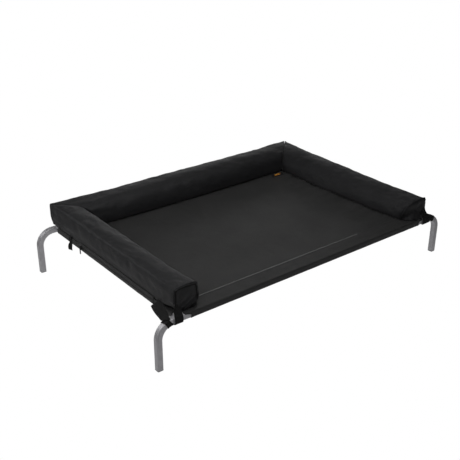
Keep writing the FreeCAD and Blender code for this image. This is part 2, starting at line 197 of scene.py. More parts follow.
def cloth(name, base, pitch, roughness, weave_depth, sheen, tint=(1, 1, 1)):
    """Plain-woven cloth: threads along all three axes, so that every face shows two of them."""
    m = Nodes(name, shade(base, tint), roughness, Sheen_Weight=sheen, Sheen_Roughness=0.45,
              Specular_IOR_Level=0.35)
    threads = m.math("ADD", m.math("ADD", m.waves("X", pitch), m.waves("Y", pitch)), m.waves("Z", pitch))
    weave = m.math("DIVIDE", threads, 3)
    slub = m.noise(9, 5)
    mixed = m.math("ADD", m.math("MULTIPLY", weave, 0.45), m.math("MULTIPLY", slub, 0.55))
    low = shade(base * (1 - CLOTH_UNEVEN), tint)
    high = shade(base * (1 + CLOTH_UNEVEN), tint)
    m.color(mixed, [(0.3, low), (0.7, high)])
    m.roughness(slub, roughness - 0.06, roughness + 0.08)
    m.bump([(slub, 0.002, 0.1), (weave, weave_depth, 0.6)])
    return m.material


def webbing():
    """Ribbed tape: wavy ribs across it, with a fuzz of fine fibres."""
    m = Nodes("black_webbing", shade(0.014), 0.75, Sheen_Weight=0.03, Specular_IOR_Level=0.2)
    ribs = m.math("ADD", m.waves("Z", 0.0024, 1.2), m.waves("X", 0.0024, 1.2))
    fuzz = m.noise(420, 4)
    m.color(m.math("ADD", m.math("MULTIPLY", ribs, 0.3), m.math("MULTIPLY", fuzz, 0.5)),
            [(0.3, shade(0.008)), (0.75, shade(0.026))])
    m.roughness(fuzz, 0.6, 0.85)
    m.bump([(ribs, 0.0007, 0.7), (fuzz, 0.0005, 0.5)])
    return m.material


def thread(name, color):
    m = Nodes(name, color, 0.6, Specular_IOR_Level=0.15)
    m.color(m.noise(700, 2), [(0.3, tuple(c * 0.75 for c in color)), (0.7, tuple(c * 1.2 for c in color))])
    m.bump([(m.noise(2500, 2), 0.0002, 0.6)])
    return m.material


def foam():
    m = Nodes("cream_foam", shade(0.72, (1.0, 0.96, 0.86)), 0.9)
    m.color(m.noise(120, 5), [(0.3, shade(0.6, (1.0, 0.95, 0.83))), (0.7, shade(0.78, (1.0, 0.96, 0.88)))])
    m.bump([(m.noise(900, 4), 0.0008, 0.8)])
    return m.material


MATERIALS = {
    "frame_paint": painted_steel(),
    "zinc_steel": zinc_steel(),
    "black_plastic": moulded_plastic(),
    "sling_cloth": cloth("sling_cloth", 0.039, 0.0016, 0.50, 0.0005, 0.10, (1, 1, 0.99)),
    "bolster_cloth": cloth("bolster_cloth", 0.021, 0.0011, 0.52, 0.0003, 0.12, (1.0, 1.0, 1.08)),
    "foam": foam(),
    # zip tape: its own near-black cloth colour, raised above the bolster cloth's as painted light to brighten
    # the band under the bolster that the lamps leave in shade
    "zip_tape": cloth("zip_tape", 0.045, 0.0008, 0.52, 0.0002, 0.12),
    "zip_metal": moulded_plastic(),
    "webbing": webbing(),
    "label_cloth": cloth("label_satin", 0.016, 0.0005, 0.4, 0.0001, 0.1),
}
PALE_THREAD = thread("pale_thread", shade(0.36))
GREY_THREAD = thread("grey_thread", shade(0.10))
DARK_THREAD = thread("dark_thread", shade(0.008))
ORANGE_THREAD = thread("orange_thread", (0.95, 0.46, 0.08))


# ---------------- making pieces

CURVE_STEPS = 24
STITCH_SIDES = 6
# along one stitch: (share of its length, share of its radius)
STITCH_RINGS = ((0.0, 0.35), (0.15, 0.9), (0.5, 1.0), (0.85, 0.9), (1.0, 0.35))


def settle(obj, slot, replaces=(), material=None):
    """Give a piece its material (the slot's, unless one is given), put it in its body, and hide the CAD nodes
    it stands for.
    """
    obj.data.materials.clear()
    obj.data.materials.append(material or MATERIALS[slot])
    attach(obj, BODY)
    if replaces:
        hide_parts(*replaces)
    return obj


def in_scene(name, data):
    obj = bpy.data.objects.new(name, data)
    bpy.context.scene.collection.objects.link(obj)
    return obj


def shade_smooth(mesh):
    mesh.polygons.foreach_set("use_smooth", [True] * len(mesh.polygons))


def mesh_object(name, points, faces):
    mesh = bpy.data.meshes.new(name)
    mesh.from_pydata([tuple(p) for p in points], [], [tuple(f) for f in faces])
    mesh.update()
    shade_smooth(mesh)
    return in_scene(name, mesh)


def grid_faces(rows, columns, ring=False):
    """Quads of a rows by columns grid of points, each row closed on itself if ring is set."""
    wide = columns if ring else columns - 1
    return [
        (r * columns + c, r * columns + (c + 1) % columns,
         (r + 1) * columns + (c + 1) % columns, (r + 1) * columns + c)
        for r in range(rows - 1) for c in range(wide)
    ]


def capped_tube(first, rings, sides):
    """Faces of a tube closed at both ends, its rings of points numbered from first on."""
    walls = [tuple(first + i for i in face) for face in grid_faces(rings, sides, ring=True)]
    start = tuple(first + k for k in reversed(range(sides)))
    end = tuple(first + (rings - 1) * sides + k for k in range(sides))
    return walls + [start, end]


def circle(centre, side, other, radius, count):
    """Points evenly round a circle that two unit vectors span."""
    angles = [2 * math.pi * k / count for k in range(count)]
    return [centre + (side * math.cos(a) + other * math.sin(a)) * radius for a in angles]


def thicken(obj, thickness):
    solid = obj.modifiers.new("cloth_thickness", "SOLIDIFY")
    solid.thickness = thickness
    solid.offset = 0.0
    solid.use_even_offset = False
    return obj


def smooth_edges(obj):
    subdivision = obj.modifiers.new("subdivision", "SUBSURF")
    subdivision.levels = 1
    subdivision.render_levels = 1
    return obj


def tube_mesh(name, path, radius, sides):
    """Round tube along a list of points, its ends closed."""
    last = len(path) - 1
    verts = []
    side = None
    for i, point in enumerate(path):
        along = (path[min(i + 1, last)] - path[max(i - 1, 0)]).normalized()
        if side is None:
            guide = UP if abs(along.z) < 0.9 else Vector((1, 0, 0))
            side = along.cross(guide).normalized()
        side = (side - along * side.dot(along)).normalized()
        verts += circle(point, side, along.cross(side), radius, sides)
    return mesh_object(name, verts, capped_tube(0, len(path), sides))


def sampled(at, knots, table):
    """The point at a place along a table of points, one for each knot."""
    return Vector([np.interp(at, knots, table[:, axis]) for axis in range(3)])


def lengths_along(points):
    """Distance of each point from the first, along the line through them all."""
    steps = [(Vector(q) - Vector(p)).length for p, q in zip(points, points[1:])]
    return np.concatenate([[0], np.cumsum(steps)])


def curve_through(points, count):
    """Evenly spaced points on a smooth curve through the given ones (Catmull-Rom)."""
    given = [Vector(p) for p in points]
    given = [given[0] * 2 - given[1]] + given + [given[-1] * 2 - given[-2]]
    dense = []
    for i in range(1, len(given) - 2):
        a, b, c, d = given[i - 1:i + 3]
        for k in range(CURVE_STEPS):
            t = k / CURVE_STEPS
            dense.append(0.5 * (2 * b + (c - a) * t + (2 * a - 5 * b + 4 * c - d) * t * t
                                + (3 * b - a - 3 * c + d) * t * t * t))
    dense.append(given[-2])
    lengths = lengths_along(dense)
    table = np.array([tuple(p) for p in dense])
    return [sampled(wanted, lengths, table) for wanted in np.linspace(0, lengths[-1], count)]


def evaluated_mesh(obj):
    return bpy.data.meshes.new_from_object(obj.evaluated_get(bpy.context.evaluated_depsgraph_get()))


def joined(name, objects):
    """One object made of several, with their modifiers applied."""
    build = bmesh.new()
    for obj in objects:
        build.from_mesh(evaluated_mesh(obj))
    mesh = bpy.data.meshes.new(name)
    build.to_mesh(mesh)
    build.free()
    for obj in objects:
        bpy.data.objects.remove(obj)
    shade_smooth(mesh)
    return in_scene(name, mesh)


def stitches(name, path, pitch, length, radius, material, slot):
    """A row of sewn stitches along a list of closely spaced points, each a short sunk capsule."""
    knots = lengths_along(path)
    table = np.array([tuple(p) for p in path])
    verts, faces = [], []
    for number in range(int(knots[-1] / pitch)):
        start = number * pitch
        along = sampled(start + length, knots, table) - sampled(start, knots, table)
        side = along.cross(UP).normalized()
        faces += capped_tube(len(verts), len(STITCH_RINGS), STITCH_SIDES)
        for share, size in STITCH_RINGS:
            centre = sampled(start + share * length, knots, table)
            centre += UP * radius * (0.7 * math.sin(math.pi * share) - 0.2)
            verts += circle(centre, side, UP, radius * size, STITCH_SIDES)
    return settle(mesh_object(name, verts, faces), slot, material=material)


def wobble(point, scale, seed=0.0):
    """Smooth noise from -1 to 1 at a point."""
    return noise.noise(Vector(point) * scale + Vector((seed, seed * 1.7, -seed)))


def ramp_up(value, low, high):
    """Eased step from 0 at low to 1 at high."""
    t = min(max((value - low) / (high - low), 0.0), 1.0)
    return t * t * (3 - 2 * t)


def ramp_down(value, low, high):
    return 1 - ramp_up(value, low, high)


# ---------------- sling

CLOTH = 1.0 * MM
RIGHT_FOLDS = [
    # y where the fold leaves the bolster, direction in degrees, length, half width, height in FOLD_DEPTHs
    (-0.300, 205, 0.17, 0.012, 1.9),
    (-0.235, 196, 0.20, 0.016, -1.7),
    (-0.160, 192, 0.22, 0.013, 1.8),
    (-0.075, 190, 0.24, 0.018, -1.6),
    (0.010, 187, 0.22, 0.012, 1.7),
    (0.085, 184, 0.20, 0.016, -1.5),
    (0.150, 182, 0.17, 0.012, 1.4),
    (0.205, 178, 0.14, 0.012, -1.2),
]
FOLD_START_X = 0.478
FOLD_DEPTH = 2.0 * MM
PANEL_DIP = 2.5 * MM
LAP = 5 * MM
SLEEVE_REACH = {"front": 34 * MM, "back": 34 * MM, "left": 30 * MM, "right": 30 * MM}
SLEEVE_SLANT = 0.68
# points in the top run of a sleeve's section, and the one by the rail's outer face
TOP_POINTS = 12
OUTER_POINT = 18


def fold_height(x, y):
    """Soft pulls in the sling that fan out from under the right-hand bolster, in metres."""
    total = 0.0
    for start_y, degrees, length, width, height in RIGHT_FOLDS:
        direction = math.radians(degrees)
        dx, dy = x - FOLD_START_X, y - start_y
        along = dx * math.cos(direction) + dy * math.sin(direction)
        across = -dx * math.sin(direction) + dy * math.cos(direction)
        if 0 < along < length:
            fade = (1 - along / length) ** 1.5
            spread = width * (1 + 1.5 * along / length)
            total += FOLD_DEPTH * height * fade * math.exp(-(across / spread) ** 2)
    return total


def sling_surface(x, y):
    """Height of the sling's top: taut at the rails, hardly dipping between them."""
    inside = (1 - (x / SEWN_X) ** 2) * (1 - (y / SEWN_Y) ** 2)
    dip = -PANEL_DIP * max(inside, 0) ** 0.7
    ripple = 0.35 * MM * wobble((x, y, 0), 9, 2.0) + 0.2 * MM * wobble((x * 2.2, y, 0), 24, 5.0)
    edge = min(SEWN_X - abs(x), SEWN_Y - abs(y))
    return DECK_Z - CLOTH / 2 + (dip + ripple + fold_height(x, y)) * ramp_up(edge, 0, 0.05)


def sling_panel():
    columns, rows = 208, 138
    xs = np.linspace(-SEWN_X, SEWN_X, columns)
    ys = np.linspace(-SEWN_Y, SEWN_Y, rows)
    points = [(x, y, sling_surface(x, y)) for y in ys for x in xs]
    obj = thicken(mesh_object("sling_cloth_panel", points, grid_faces(rows, columns)), CLOTH)
    settle(obj, "sling_cloth", ["sling_panel"])
    return obj


def sleeve_section(rail, sewn):
    """Points (across, height) of a sleeve's middle surface, from its sewn top edge round the rail.

    Across is measured outwards, so the rail is at +rail and the sewn line at +sewn."""
    gap = 0.4 * MM + CLOTH / 2
    half = TUBE / 2 + gap
    corner = 3.0 * MM + gap
    points = []
    top = DECK_Z + CLOTH * 0.55
    for t in np.linspace(0, 1, TOP_POINTS):
        across = sewn - LAP + (rail + half - corner - sewn + LAP) * t
        points.append((across, top + (RAIL_Z + half - top) * ramp_up(t, 0.1, 0.8)))
    for quarter, (cx, cz) in enumerate(((1, 1), (1, -1), (-1, -1))):
        centre = (rail + cx * (half - corner), RAIL_Z + cz * (half - corner))
        start = math.pi / 2 - quarter * math.pi / 2
        for t in np.linspace(0, 1, 7)[1 if quarter == 0 else 0:]:
            angle = start - t * math.pi / 2
            points.append((centre[0] + corner * math.cos(angle), centre[1] + corner * math.sin(angle)))
        if quarter < 2:
            ahead = math.pi / 2 - (quarter + 1) * math.pi / 2
            side = (math.cos(ahead), math.sin(ahead))
            here = points[-1]
            run = 2 * (half - corner)
            for t in (0.25, 0.5, 0.75):
                points.append((here[0] + side[1] * run * t, here[1] - side[0] * run * t))
    here = points[-1]
    for t in np.linspace(0, 1, 9)[1:]:
        across = here[0] + (sewn - LAP - here[0]) * t
        points.append((across, here[1] + (DECK_Z - 2.2 * CLOTH - here[1]) * ramp_up(t, -0.35, 1.1)))
    return points


def sleeve(side, node):
    """One cloth sleeve: a strip folded round its rail and sewn to the panel's edge."""
    low, high = corners(node)
    lengthwise = side in ("front", "back")
    sign = -1 if side in ("front", "left") else 1
    rail, sewn = (RAIL_Y, SEWN_Y) if lengthwise else (CROSS_X, SEWN_X)
    start, end = (low.x, high.x) if lengthwise else (low.y, high.y)
    reach = SLEEVE_REACH[side]
    section = sleeve_section(rail, sewn)
    near_rail = rail - TUBE / 2 - 1 * MM

    def place(s, k, across, z):
        """Point k of the ring at s: puckered, flared at the ends and cut back from the panel there."""
        from_end = min(s - start, end - s) + reach
        pucker = wobble((s, across, z * 0.5), 26, 3.0 + sign) * 0.7 * MM
        pucker += wobble((s * 0.35, across, z), 70, 9.0) * 0.35 * MM
        if across < near_rail:
            across += (near_rail - across) * ramp_down(from_end, 0.4 * reach, reach)
        flare = 0.8 * MM * ramp_down(from_end, 0, 0.03)
        out = across + (pucker * 0.5 + flare) * (1 if across > rail else 0)
        loose = ramp_up(abs(k - OUTER_POINT), 0, 14)
        up = z + (pucker if k < TOP_POINTS else -abs(pucker)) * loose
        beyond = max(start - s, s - end, 0.0) * (1 if s > end else -1)
        slanted = lengthwise and k >= TOP_POINTS
        slant = SLEEVE_SLANT * ramp_up(RAIL_Z + TUBE / 2 - z, 0, 6 * MM) if slanted else 0.0
        along = s - beyond * slant
        return (along, sign * out, up) if lengthwise else (sign * out, along, up)

    columns = 180 if lengthwise else 120
    points = [place(s, k, across, z) for s in np.linspace(start - reach, end + reach, columns)
              for k, (across, z) in enumerate(section)]
    faces = grid_faces(columns, len(section))
    obj = mesh_object(f"sling_sleeve_cloth_{side}", points, faces)
    smooth_edges(thicken(obj, CLOTH))
    settle(obj, "sling_cloth", [node])
    return obj


# painted shade: past this x the front stitches change from pale to grey thread, darker towards the right
# where less light falls
PALE_TO_X = 255 * MM
STITCH_PITCH = 7 * MM
STITCH_INSET = 6 * MM


def sling_stitching():
    """Sewn lines along the sleeves: pale then grey at the front, grey behind, dark at the sides. The front
    line's grey run past PALE_TO_X is painted shade: the stitches are drawn darker towards the right, where
    less light falls.
    """
    lift = DECK_Z + CLOTH * 1.15
    beside = 0.5 * MM
    west, east = -SEWN_X + STITCH_INSET, SEWN_X - STITCH_INSET
    pale = [(x, beside - SEWN_Y, lift) for x in np.linspace(west, PALE_TO_X, 50)]
    stitches("sling_stitches_pale", pale, STITCH_PITCH, 6.5 * MM, 1.4 * MM, PALE_THREAD, "sling_cloth")
    for side, sign, start in (("front", -1, PALE_TO_X), ("back", 1, west)):
        path = [(x, sign * (SEWN_Y - beside), lift) for x in np.linspace(start, east, 60)]
        stitches(f"sling_stitches_{side}", path, STITCH_PITCH, 6.3 * MM, 0.6 * MM, GREY_THREAD, "sling_cloth")
    for side, sign in (("left", -1), ("right", 1)):
        ys = np.linspace(-SEWN_Y + STITCH_INSET, SEWN_Y - STITCH_INSET, 60)
        path = [(sign * (SEWN_X - beside), y, lift) for y in ys]
        stitches(f"sling_stitches_{side}", path, STITCH_PITCH, 5.4 * MM, 0.5 * MM, DARK_THREAD, "sling_cloth")


# ---------------- bolster

CORNER_STEPS = 8
EDGE_STEPS = 9
VOXEL = 6 * MM
PUFF_FRAMES = 20
PUFF_CAP = 6 * MM
START_INSET = 2 * MM
# per section: (distance from its start in metres; foot width, top width, inner top radius and drop in mm)
SHAPES = {
    "left": [(0.0, 88, 87, 9, 0), (0.03, 91, 88, 13, 1), (0.15, 101, 91, 24, 3), (0.8, 112, 95, 28, 5)],
    "right": [(0.0, 114, 96, 30, 8), (0.07, 120, 98, 34, 9), (0.20, 126, 100, 38, 10),
              (0.5, 129, 102, 36, 9), (0.8, 126, 102, 36, 9)],
    "back": [(0.0, 124, 104, 30, 7), (0.25, 129, 110, 32, 8), (0.57, 132, 112, 34, 9),
             (0.90, 129, 110, 32, 8), (1.15, 124, 104, 30, 7)],
}
SEEDS = {"left": 1.0, "back": 4.0, "right": 7.0}
CLOTH_SETTINGS = {
    "quality": 5, "mass": 0.3, "tension_stiffness": 18, "compression_stiffness": 18, "shear_stiffness": 6,
    "bending_stiffness": 0.4, "use_pressure": True, "uniform_pressure_force": 4.0,
    "vertex_group_mass": "sewn",
}
OUTER_TOP_R = 7 * MM
RIDGE_SOFTER = 8 * MM
RIGHT_SINK = 8 * MM
RIGHT_SET_BACK = 36 * MM
RIGHT_OVERHANG = 13 * MM
BACK_FULLNESS = 7 * MM
OUTER_FOOT_R = 2.5 * MM
INNER_FOOT_R = 7 * MM
STRAP_LIFT = 34 * MM
CORNER_PULL = 6 * MM
CORNER_REACH = 18 * MM
# how far a cover may stand outside its CAD solid, and a seam outside its cover
LOOSE = 1.5 * MM
SEAM_PROUD = 0.9 * MM


def rounded_outline(corners_2d, radii, crowns):
    """Closed outline with rounded corners and crowned sides, always with the same number of points."""
    arcs = []
    for i, corner in enumerate(corners_2d):
        to_last = (corners_2d[i - 1] - corner).normalized()
        to_next = (corners_2d[(i + 1) % len(corners_2d)] - corner).normalized()
        half = to_last.angle(to_next) / 2
        start = corner + to_last * radii[i] / math.tan(half)
        end = corner + to_next * radii[i] / math.tan(half)
        centre = corner + (to_last + to_next).normalized() * radii[i] / math.sin(half)
        turns = [(start - centre).lerp(end - centre, k / (CORNER_STEPS - 1)) for k in range(CORNER_STEPS)]
        arcs.append([centre + turn.normalized() * radii[i] for turn in turns])
    points = []
    for i, arc in enumerate(arcs):
        points += arc
        here, there = arc[-1], arcs[(i + 1) % len(arcs)][0]
        run = (there - here).normalized()
        outward = Vector((-run.y, run.x))
        for k in range(1, EDGE_STEPS + 1):
            share = k / (EDGE_STEPS + 1)
            points.append(here.lerp(there, share) + outward * crowns[i] * math.sin(math.pi * share))
    return points


class Section:
    """One straight bolster section, measured from its outer bottom edge.

    u runs inwards, v up and s along; place() turns them into the frame."""

    def __init__(self, side):
        self.side = side
        self.node = f"bolster_cover_{side}"
        self.back = side == "back"
        self.seed = SEEDS[side]
        self.table = np.array(SHAPES[side])

    def span(self, u):
        """Where the section starts and ends at this distance in: mitred behind, the right one set back."""
        if self.back:
            return -BOLSTER_X + u, BOLSTER_X - u
        if self.side == "right":
            return BOLSTER_FRONT + RIGHT_SET_BACK * (max(u, 0) / (112 * MM)) ** 4.4, BOLSTER_BACK - u
        return BOLSTER_FRONT, BOLSTER_BACK - u

    def place(self, u, v, s):
        if self.back:
            return Vector((s, BOLSTER_BACK - u, BOLSTER_BASE + v))
        sign = -1 if self.side == "left" else 1
        return Vector((sign * (BOLSTER_X - u), s, BOLSTER_BASE + v))

    def measure(self, point):
        v = point[2] - BOLSTER_BASE
        if self.back:
            return BOLSTER_BACK - point[1], v, point[0]
        sign = -1 if self.side == "left" else 1
        return BOLSTER_X - sign * point[0], v, point[1]

    def outline(self, distance, inset=0.0):
        """The closed outline at a distance from the section's start, drawn in all round by inset."""
        foot, top, radius, drop = (np.interp(distance, self.table[:, 0], self.table[:, k]) * MM
                                   for k in (1, 2, 3, 4))
        high = BOLSTER_H - 0.5 * MM - inset / 2
        if self.side == "right":
            high -= RIGHT_SINK * ramp_down(distance, -0.1, 0.75)
        floor = min(inset, 0.8 * MM) if inset < 5 * MM else inset
        shape = [Vector((inset / 2, floor)), Vector((inset / 2, high)), Vector((top - inset, high - drop)),
                 Vector((foot - inset, floor))]
        first, last = self.span(0.0)
        from_end = min(distance, last - first - distance)
        ridge = OUTER_TOP_R + RIDGE_SOFTER * ramp_up(from_end, 0.02, 0.16)
        radii = (OUTER_FOOT_R, ridge, radius, INNER_FOOT_R)
        crowns = (0.8 * MM, 2.5 * MM, 3.0 * MM, 0.0)
        return rounded_outline(shape, radii, crowns)

    def lift(self, u, s):
        """How far the strap draws up the left section's lower outer corner."""
        if self.side != "left":
            return 0.0
        drawn = ramp_down(s - BOLSTER_FRONT, -0.02, 0.085)
        return STRAP_LIFT * ramp_down(u, -0.005, 0.020) * drawn

    def overhang(self, u, v, distance):
        """How far the right section's open end sags forward over the front rail."""
        if self.side != "right":
            return 0.0
        across = ramp_up(u, 12 * MM, 26 * MM) * ramp_down(u, 70 * MM, 112 * MM)
        return RIGHT_OVERHANG * across * ramp_down(v, 10 * MM, 60 * MM) * ramp_down(distance, 0, 0.03)

    def end_radius(self, at_start):
        return 4 * MM if self.back or not at_start else 4.5 * MM

    def stations(self):
        """Distances along the section from its start, close together at both ends."""
        first, last = self.span(0.0)
        length = last - first
        near = [r * self.end_radius(True) for r in (0.0, 0.08, 0.25, 0.55, 1.0)]
        far = [length - r * self.end_radius(False) for r in (1.0, 0.55, 0.25, 0.08, 0.0)]
        middle = list(np.linspace(near[-1], far[0], 76))[1:-1]
        return near + middle + far, length

    def held(self, u, v, s):
        """How firmly the cover is held here: at its base, its mitred ends and its sewn ridges."""
        first, last = self.span(u)
        weight = ramp_down(v, 3 * MM, 12 * MM)
        weight = max(weight, ramp_down(last - s, 3 * MM, 14 * MM))
        if self.back:
            weight = max(weight, ramp_down(s - first, 3 * MM, 14 * MM))
        ridge = math.hypot(u - 4 * MM, v - (BOLSTER_H - 5 * MM))
        weight = max(weight, 0.8 * ramp_down(ridge, 3 * MM, 14 * MM))
        if self.side == "left":
            rim = min(u, BOLSTER_H - v, abs(88 * MM - u))
            sewn = ramp_down(rim, 4 * MM, 12 * MM) * ramp_down(s - first, 6 * MM, 16 * MM)
            weight = max(weight, sewn)
        return weight

    def lumps(self, u, v, s):
        """Height of the lumps, gathers and creases in the cover here, in metres."""
        first, last = self.span(u)
        high = ramp_up(v, 0.15 * BOLSTER_H, 0.5 * BOLSTER_H)
        total = 2.2 * wobble((u * 3, v * 3, s), 10, self.seed)
        total += 1.6 * wobble((u * 1.6, v * 1.6, s), 26, self.seed + 3)
        total -= 1.5 * abs(wobble((u * 1.2, v * 1.2, s * 0.8), 34, self.seed + 14)) - 0.4
        total += 0.45 * wobble((u, v, s), 70, self.seed + 5)
        from_seam = min(last - s, s - first if self.back else 1.0)
        gather = ramp_down(from_seam, 0.0, 0.075)
        total += 1.3 * gather * wobble((u * 2.6, v * 2.6, s * 0.7), 46, self.seed + 8)
        if self.side == "right":
            end = ramp_down(s - first, 0.0, 0.16)
            total += 2.4 * end * wobble((u, v * 1.3, s), 30, 2.5)
            near_seam = ramp_down(u, 8 * MM, 32 * MM) * ramp_down(s - first, 0.02, 0.06)
            total *= 1 - 0.9 * near_seam
        if v < 3 * MM:
            return 0.0
        sagging = 0.0
        if self.side == "left":
            end = ramp_down(s - first, 0.0, 0.03)
            crease = math.sin((v - u * 0.55) / (4.2 * MM) + 3 * wobble((u, v, 0), 25, 1.0))
            sagging = 4.0 * end * ramp_down(v, 0.35 * BOLSTER_H, 0.6 * BOLSTER_H) * crease
        low_crease = (1 - high) * 0.8 * wobble((s * 0.35, u * 2, v * 2.5), 60, self.seed + 11) + sagging
        return (total * high + low_crease + 0.4 * total) * MM * 0.75

    def fullness(self, v, s):
        """How far the back section swells out behind, above its zip and lower down past the zip's ends."""
        if not self.back:
            return 0.0
        low = 22 * MM - 19 * MM * ramp_up(abs(s), 430 * MM, 490 * MM)
        return BACK_FULLNESS * ramp_up(v, low, low + 30 * MM)

    def squared(self, u, v, s):
        """Draw the outer upright corners out to crisp edges, and swell the back section out behind."""
        first, last = self.span(u)
        outer = ramp_down(u, 4 * MM, CORNER_REACH)
        far = outer * ramp_down(last - s, 4 * MM, CORNER_REACH)
        near = outer * ramp_down(s - first, 4 * MM, CORNER_REACH) if self.side != "left" else 0.0
        full = self.fullness(v, s) * ramp_down(u, 5 * MM, 70 * MM)
        spread = ramp_up(s, last - 60 * MM, last) - ramp_down(s, first, first + 60 * MM)
        return u - CORNER_PULL * max(near, far) - full, v, s + CORNER_PULL * (far - near) + full * spread

    def confined(self, u, v, s):
        """The nearest place that stays clear of the frame, zips, straps and the next section."""
        u = max(u, (0.5 * MM if v < 25 * MM else -LOOSE) - self.fullness(v, s))
        first, last = self.span(u)
        v = min(max(v, 0.3 * MM), BOLSTER_H + LOOSE)
        s = min(s, last - 0.2 * MM)
        if self.back:
            s = min(max(s, -BOLSTER_X - LOOSE), BOLSTER_X + LOOSE)
        room = 0.0 if self.back or u < 22 * MM else 4 * MM
        return u, v, max(s, first + 0.5 * MM - room - self.overhang(u, v, 0.0))


def section_points(section, inset, margin=0.0):
    """Rings of points along a section, rounded in at both ends."""
    distances, length = section.stations()
    points = []
    for distance in distances:
        outline = section.outline(distance, inset)
        centre = sum(outline, Vector((0, 0))) / len(outline)
        half = Vector((max(p.x for p in outline) - centre.x, max(p.y for p in outline) - centre.y))
        from_end = min(distance, length - distance)
        radius = section.end_radius(distance < length / 2)
        inward = radius - math.sqrt(max(radius ** 2 - max(radius - from_end, 0) ** 2, 0))
        share = distance / length
        for p in outline:
            square = section.side == "right" and p.x < centre.x
            u = centre.x + (p.x - centre.x) * (1 - (0 if square else inward) / half.x)
            v = centre.y + (p.y - centre.y) * (1 - (inward if p.y > centre.y else 0) / half.y)
            first, last = section.span(u)
            s = first + margin + share * (last - first - 2 * margin)
            s -= section.overhang(u, v, distance) if margin == 0 else 0.0
            lifted = section.lift(u, s)
            v = lifted + v * (1 - lifted / BOLSTER_H)
            points.append(section.place(u, v, s))
    return points, len(distances), len(outline)


def closed_section(name, section, inset, margin=0.0):
    points, rows, count = section_points(section, inset, margin)
    faces = grid_faces(rows, count, ring=True)
    for base in (0, (rows - 1) * count):
        ring = [base + k for k in range(count)]
        centre = sum((points[i] for i in ring), Vector()) / count
        inner = [len(points) + k for k in range(count)]
        points += [centre + (points[i] - centre) * 0.5 for i in ring]
        middle = len(points)
        points.append(centre)
        for k in range(count):
            j = (k + 1) % count
            faces.append((ring[k], ring[j], inner[j], inner[k]))
            faces.append((inner[k], inner[j], middle))
    obj = mesh_object(name, points, faces)
    build = bmesh.new()
    build.from_mesh(obj.data)
    bmesh.ops.recalc_face_normals(build, faces=build.faces)
    build.to_mesh(obj.data)
    build.free()
    return obj


def coordinates(mesh):
    flat = np.empty(len(mesh.vertices) * 3)
    mesh.vertices.foreach_get("co", flat)
    return flat.reshape(-1, 3)


def set_coordinates(mesh, table):
    mesh.vertices.foreach_set("co", table.ravel())
    mesh.update()


def puffed(obj, section):
    """Blow the cover up from inside as cloth, held at its seams, then keep only the shape."""
    remesh = obj.modifiers.new("even_mesh", "REMESH")
    remesh.mode = "VOXEL"
    remesh.voxel_size = VOXEL
    even = evaluated_mesh(obj)
    obj.modifiers.clear()
    obj.data = even
    start = coordinates(even)
    sewn = obj.vertex_groups.new(name="sewn")
    for index, point in enumerate(start):
        weight = section.held(*section.measure(point))
        if weight > 0.01:
            sewn.add([index], weight, "REPLACE")
    cloth_modifier = obj.modifiers.new("filling", "CLOTH")
    settings = cloth_modifier.settings
    for name, value in CLOTH_SETTINGS.items():
        setattr(settings, name, value)
    settings.effector_weights.gravity = 0
    cloth_modifier.collision_settings.use_collision = False
    for frame_number in range(1, PUFF_FRAMES + 1):
        bpy.context.scene.frame_set(frame_number)
    blown = evaluated_mesh(obj)
    step = coordinates(blown) - start
    length = np.linalg.norm(step, axis=1, keepdims=True)
    step *= np.minimum(1, PUFF_CAP / np.maximum(length, 1e-9))
    obj.modifiers.clear()
    obj.vertex_groups.clear()
    bpy.context.scene.frame_set(1)
    set_coordinates(even, start + step)
    bpy.data.meshes.remove(blown)


def lumpy(obj, section):
    """Push the cover out and in by its lumps and creases, then back into the room it has."""
    normals = np.array([tuple(v.normal) for v in obj.data.vertices])
    table = coordinates(obj.data)
    for index, point in enumerate(table):
        moved = point + normals[index] * section.lumps(*section.measure(point))
        table[index] = section.place(*section.confined(*section.squared(*section.measure(moved))))
    set_coordinates(obj.data, table)
    shade_smooth(obj.data)


def on_cover(cover, targets):
    """An open line of places on a finished cover, nearest to the targets and a little proud of it."""
    build = bmesh.new()
    build.from_mesh(evaluated_mesh(cover))
    tree = BVHTree.FromBMesh(build)
    build.free()
    line = []
    for target in targets:
        place, normal, _, _ = tree.find_nearest(target)
        line.append(place + normal * SEAM_PROUD)
    start = max(range(len(line)), key=lambda i: (line[i] - line[i - 1]).length)
    return line[start:] + line[:start]


def end_piping(section, cover):
    """Corded seam round the open end of a side section, lying on the finished cover."""
    set_in = 5 * MM
    s = BOLSTER_FRONT + set_in
    targets = []
    for p in section.outline(set_in):
        if p.y > 9 * MM:
            lifted = section.lift(p.x, s)
            targets.append(section.place(p.x, lifted + p.y * (1 - lifted / BOLSTER_H), s))
    line = on_cover(cover, targets)
    path = curve_through(line[::3] + [line[-1]], 110)
    return settle(tube_mesh(f"bolster_end_piping_{section.side}", path, 1.7 * MM, 8), "bolster_cloth")


def end_seam(section, cover):
    """The seam sewn into the end panel a little inside its corded rim."""
    rim = [p for p in section.outline(0.0, 9 * MM) if p.y >= 24 * MM]
    line = on_cover(cover, [section.place(p.x, p.y, BOLSTER_FRONT) for p in rim])
    path = curve_through(line[::3], 90)
    obj = tube_mesh(f"bolster_end_seam_{section.side}", path, 1.4 * MM, 6)
    return settle(obj, "bolster_cloth", material=DARK_THREAD)


def bolster_cover(side):
    section = Section(side)
    obj = closed_section(f"bolster_{side}", section, START_INSET)
    puffed(obj, section)
    lumpy(obj, section)
    smooth_edges(obj)
    settle(obj, "bolster_cloth", [section.node])
    if side != "back":
        end_piping(section, obj)
    if side == "left":
        end_seam(section, obj)
    return obj


def bolster_filling(side):
    """Foam core, well inside the cover on every side."""
    section = Section(side)
    obj = closed_section(f"bolster_filling_{side}", section, 9 * MM, 11 * MM)
    settle(obj, "foam", [f"bolster_foam_{side}"])
    return obj


# ---------------- straps, zips and label

WEBBING = 1.4 * MM


